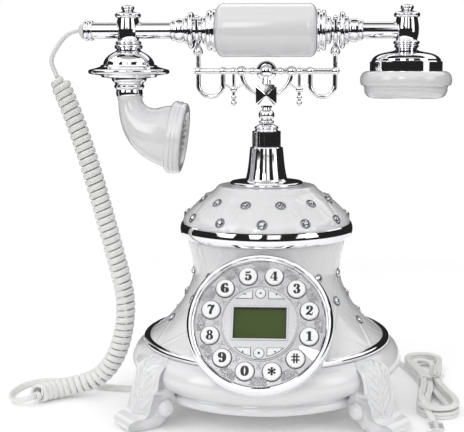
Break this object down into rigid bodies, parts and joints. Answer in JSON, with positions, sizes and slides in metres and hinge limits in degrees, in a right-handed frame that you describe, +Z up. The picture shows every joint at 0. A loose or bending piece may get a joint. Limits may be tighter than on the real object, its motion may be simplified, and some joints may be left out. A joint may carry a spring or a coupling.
{
  "type": "telephone",
  "caption": "Ornate desk telephone: round footed base with a push-button dial and display, sprung cradle on a chrome stem, long handset and curly cord.",
  "frame": {"origin": "on the surface that the feet stand on, below the middle of the telephone's box without its free cords", "axes": "+Z up, -Y to the front where the dial faces, +X towards the earpiece"},
  "size_m": [0.3185, 0.2272, 0.2771],
  "materials": {
    "white_enamel": "glossy ivory-white moulded plastic",
    "chrome": "bright plated trim",
    "key_plastic": "white keys with black numerals",
    "silver_keys": "pale silver function keys",
    "silver_plate": "silvered plate with floral relief",
    "display_glass": "tinted display window",
    "display_body": "display panel",
    "silicone": "moulded keypad",
    "circuit_board": "printed circuit board",
    "black_parts": "black moulded inner parts",
    "socket_plastic": "socket housings",
    "ballast": "painted weight",
    "screws": "zinc-plated screws",
    "crystal": "clear rhinestones",
    "handset_cord": "white curly cord jacket",
    "line_cord": "white flat cord jacket",
    "tie": "white wire tie",
    "clear_plug": "clear modular plug"
  },
  "bodies": {
    "root": {"ballast_weight": "ballast", "base_drum": "white_enamel", "base_plate": "white_enamel", "base_screws": "screws", "body_shell": "white_enamel", "chrome_bands": "chrome", "cord_sockets": "socket_plastic", "curly_coil": "handset_cord", "dial_collar": "white_enamel", "dial_plate": "silver_plate", "dial_rim": "chrome", "dome_cover": "white_enamel", "feet": "white_enamel", "hank_tie": "tie", "hook_switch": "black_parts", "keypad_membrane": "silicone", "lcd_bezel": "silver_plate", "lcd_module": "display_body", "lcd_window": "display_glass", "line_cord": "line_cord", "line_hank": "line_cord", "line_plugs": "clear_plug", "lower_cord_tail": "handset_cord", "main_board": "circuit_board", "rhinestones": "crystal", "ringer_speaker": "black_parts", "stem_base": "chrome", "upper_cord_tail": "handset_cord"},
    "cradle": {"cradle_stem": "chrome", "cradle_frame": "chrome", "cradle_forks": "chrome"},
    "handset": {"handset_grip": "white_enamel", "grip_ferrules": "chrome", "handset_arms": "chrome", "strain_relief": "white_enamel", "handset_barrels": "chrome", "mouth_saucer": "chrome", "mouth_horn": "white_enamel", "mouth_cap": "white_enamel", "ear_dome": "chrome", "ear_cap": "white_enamel", "capsules": "black_parts"},
    "key_two_body": {"key_two": "key_plastic"},
    "key_three_body": {"key_three": "key_plastic"},
    "key_four_body": {"key_four": "key_plastic"},
    "key_five_body": {"key_five": "key_plastic"},
    "key_six_body": {"key_six": "key_plastic"},
    "key_seven_body": {"key_seven": "key_plastic"},
    "key_eight_body": {"key_eight": "key_plastic"},
    "key_nine_body": {"key_nine": "key_plastic"},
    "key_zero_body": {"key_zero": "key_plastic"},
    "key_star_body": {"key_star": "key_plastic"},
    "key_hash_body": {"key_hash": "key_plastic"},
    "key_one_body": {"key_one": "key_plastic"},
    "key_upper_left_body": {"key_upper_left": "silver_keys"},
    "key_upper_middle_body": {"key_upper_middle": "silver_keys"},
    "key_upper_right_body": {"key_upper_right": "silver_keys"},
    "key_lower_left_body": {"key_lower_left": "silver_keys"},
    "key_lower_middle_body": {"key_lower_middle": "silver_keys"},
    "key_lower_right_body": {"key_lower_right": "silver_keys"}
  },
  "joints": [
    {"name": "handset_lift", "type": "slide", "parent": "root", "child": "handset", "axis": [0, 0, 1], "range_m": [0, 0.06]},
    {"name": "hook_rise", "type": "slide", "parent": "root", "child": "cradle", "axis": [0, 0, 1], "range_m": [0, 0.004]},
    {"name": "key_two_press", "type": "slide", "parent": "root", "child": "key_two_body", "axis": [0, 0.848, -0.5299], "range_m": [0, 0.0012], "stiffness_N_per_m": 300},
    {"name": "key_three_press", "type": "slide", "parent": "root", "child": "key_three_body", "axis": [0, 0.848, -0.5299], "range_m": [0, 0.0012], "stiffness_N_per_m": 300},
    {"name": "key_four_press", "type": "slide", "parent": "root", "child": "key_four_body", "axis": [0, 0.848, -0.5299], "range_m": [0, 0.0012], "stiffness_N_per_m": 300},
    {"name": "key_five_press", "type": "slide", "parent": "root", "child": "key_five_body", "axis": [0, 0.848, -0.5299], "range_m": [0, 0.0012], "stiffness_N_per_m": 300},
    {"name": "key_six_press", "type": "slide", "parent": "root", "child": "key_six_body", "axis": [0, 0.848, -0.5299], "range_m": [0, 0.0012], "stiffness_N_per_m": 300},
    {"name": "key_seven_press", "type": "slide", "parent": "root", "child": "key_seven_body", "axis": [0, 0.848, -0.5299], "range_m": [0, 0.0012], "stiffness_N_per_m": 300},
    {"name": "key_eight_press", "type": "slide", "parent": "root", "child": "key_eight_body", "axis": [0, 0.848, -0.5299], "range_m": [0, 0.0012], "stiffness_N_per_m": 300},
    {"name": "key_nine_press", "type": "slide", "parent": "root", "child": "key_nine_body", "axis": [0, 0.848, -0.5299], "range_m": [0, 0.0012], "stiffness_N_per_m": 300},
    {"name": "key_zero_press", "type": "slide", "parent": "root", "child": "key_zero_body", "axis": [0, 0.848, -0.5299], "range_m": [0, 0.0012], "stiffness_N_per_m": 300},
    {"name": "key_star_press", "type": "slide", "parent": "root", "child": "key_star_body", "axis": [0, 0.848, -0.5299], "range_m": [0, 0.0012], "stiffness_N_per_m": 300},
    {"name": "key_hash_press", "type": "slide", "parent": "root", "child": "key_hash_body", "axis": [0, 0.848, -0.5299], "range_m": [0, 0.0012], "stiffness_N_per_m": 300},
    {"name": "key_one_press", "type": "slide", "parent": "root", "child": "key_one_body", "axis": [0, 0.848, -0.5299], "range_m": [0, 0.0012], "stiffness_N_per_m": 300},
    {"name": "key_upper_left_press", "type": "slide", "parent": "root", "child": "key_upper_left_body", "axis": [0, 0.848, -0.5299], "range_m": [0, 0.0012], "stiffness_N_per_m": 300},
    {"name": "key_upper_middle_press", "type": "slide", "parent": "root", "child": "key_upper_middle_body", "axis": [0, 0.848, -0.5299], "range_m": [0, 0.0012], "stiffness_N_per_m": 300},
    {"name": "key_upper_right_press", "type": "slide", "parent": "root", "child": "key_upper_right_body", "axis": [0, 0.848, -0.5299], "range_m": [0, 0.0012], "stiffness_N_per_m": 300},
    {"name": "key_lower_left_press", "type": "slide", "parent": "root", "child": "key_lower_left_body", "axis": [0, 0.848, -0.5299], "range_m": [0, 0.0012], "stiffness_N_per_m": 300},
    {"name": "key_lower_middle_press", "type": "slide", "parent": "root", "child": "key_lower_middle_body", "axis": [0, 0.848, -0.5299], "range_m": [0, 0.0012], "stiffness_N_per_m": 300},
    {"name": "key_lower_right_press", "type": "slide", "parent": "root", "child": "key_lower_right_body", "axis": [0, 0.848, -0.5299], "range_m": [0, 0.0012], "stiffness_N_per_m": 300}
  ],
  "couplings": [
    {"joint": "hook_rise", "follows": "handset_lift", "ratio": 0.066667}
  ]
}
